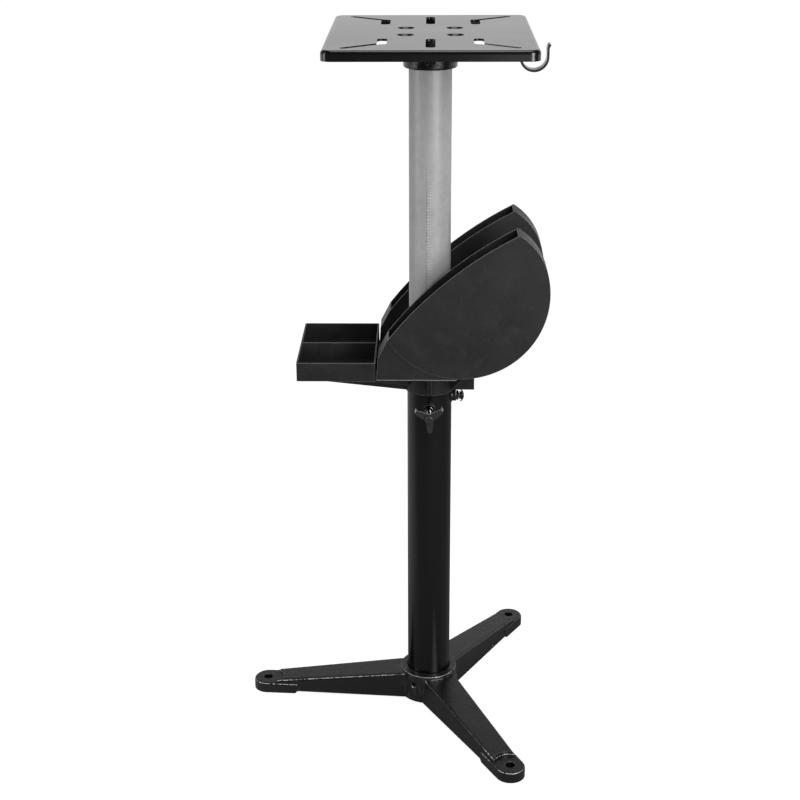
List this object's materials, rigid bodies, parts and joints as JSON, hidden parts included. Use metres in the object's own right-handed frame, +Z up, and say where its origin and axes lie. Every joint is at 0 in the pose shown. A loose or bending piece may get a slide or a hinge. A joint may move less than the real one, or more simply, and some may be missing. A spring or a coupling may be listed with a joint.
{
  "type": "bench grinder stand",
  "caption": "Floor stand for a bench grinder: cast tripod base, telescoping column, slotted table, tool tray with two wheel pockets, clamps and a hook.",
  "frame": {"origin": "on the column's axis, at the floor, in the middle of the bolt circle of the three feet", "axes": "+Z up along the column, +X to the right of the table, the side with the hook, +Y to the back; the front clamp's knob points to -Y"},
  "size_m": [0.4343, 0.4761, 1.0073],
  "materials": {
    "cast_black": "gloss paint over a rough casting",
    "tube_black": "satin black paint",
    "plate_black": "satin black paint",
    "zinc": "bare galvanised tube",
    "moulding": "fine-grained matte plastic",
    "dark_steel": "blackened steel",
    "bright_steel": "zinc-plated steel"
  },
  "bodies": {
    "base": {"tripod_base": "cast_black", "hub_set_screws": "dark_steel", "outer_tube": "tube_black", "front_clamp_boss": "tube_black", "side_clamp_boss": "tube_black", "front_jam_nut": "bright_steel", "side_jam_nut": "bright_steel"},
    "front_screw": {"front_clamp_screw": "bright_steel"},
    "front_knob": {"front_clamp_knob": "dark_steel"},
    "side_screw": {"side_clamp_screw": "bright_steel"},
    "side_wing": {"side_clamp_wing": "dark_steel"},
    "column": {"inner_tube": "zinc"},
    "table": {"column_flange": "cast_black", "flange_set_screw": "dark_steel", "top_plate": "plate_black", "plate_screws": "dark_steel", "plate_washers": "bright_steel", "plate_nuts": "bright_steel", "hook": "plate_black"},
    "rack": {"tool_tray": "moulding", "wheel_rack": "moulding", "rack_screws": "bright_steel"}
  },
  "joints": [
    {"name": "column_height", "type": "slide", "parent": "base", "child": "column", "axis": [0, 0, 1], "range_m": [-0.185, 0.05]},
    {"name": "table_swivel", "type": "hinge", "parent": "column", "child": "table", "pos_m": [0, 0, 0.98], "axis": [0, 0, 1], "continuous": true},
    {"name": "rack_swivel", "type": "hinge", "parent": "base", "child": "rack", "pos_m": [0, 0, 0.5425], "axis": [0, 0, 1], "range_deg": [-75, 75]},
    {"name": "front_clamp_travel", "type": "slide", "parent": "base", "child": "front_screw", "axis": [0, -1, 0], "range_m": [0, 0.00375]},
    {"name": "front_clamp_turn", "type": "hinge", "parent": "front_screw", "child": "front_knob", "pos_m": [0, -0.07, 0.484], "axis": [0, -1, 0], "range_deg": [0, 1081]},
    {"name": "side_clamp_travel", "type": "slide", "parent": "base", "child": "side_screw", "axis": [1, 0, 0], "range_m": [0, 0.00375]},
    {"name": "side_clamp_turn", "type": "hinge", "parent": "side_screw", "child": "side_wing", "pos_m": [0.045, 0, 0.4927], "axis": [1, 0, 0], "range_deg": [0, 1081]}
  ],
  "couplings": [
    {"joint": "front_clamp_turn", "follows": "front_clamp_travel", "rad_per_m": 5026.5},
    {"joint": "side_clamp_turn", "follows": "side_clamp_travel", "rad_per_m": 5026.5}
  ]
}
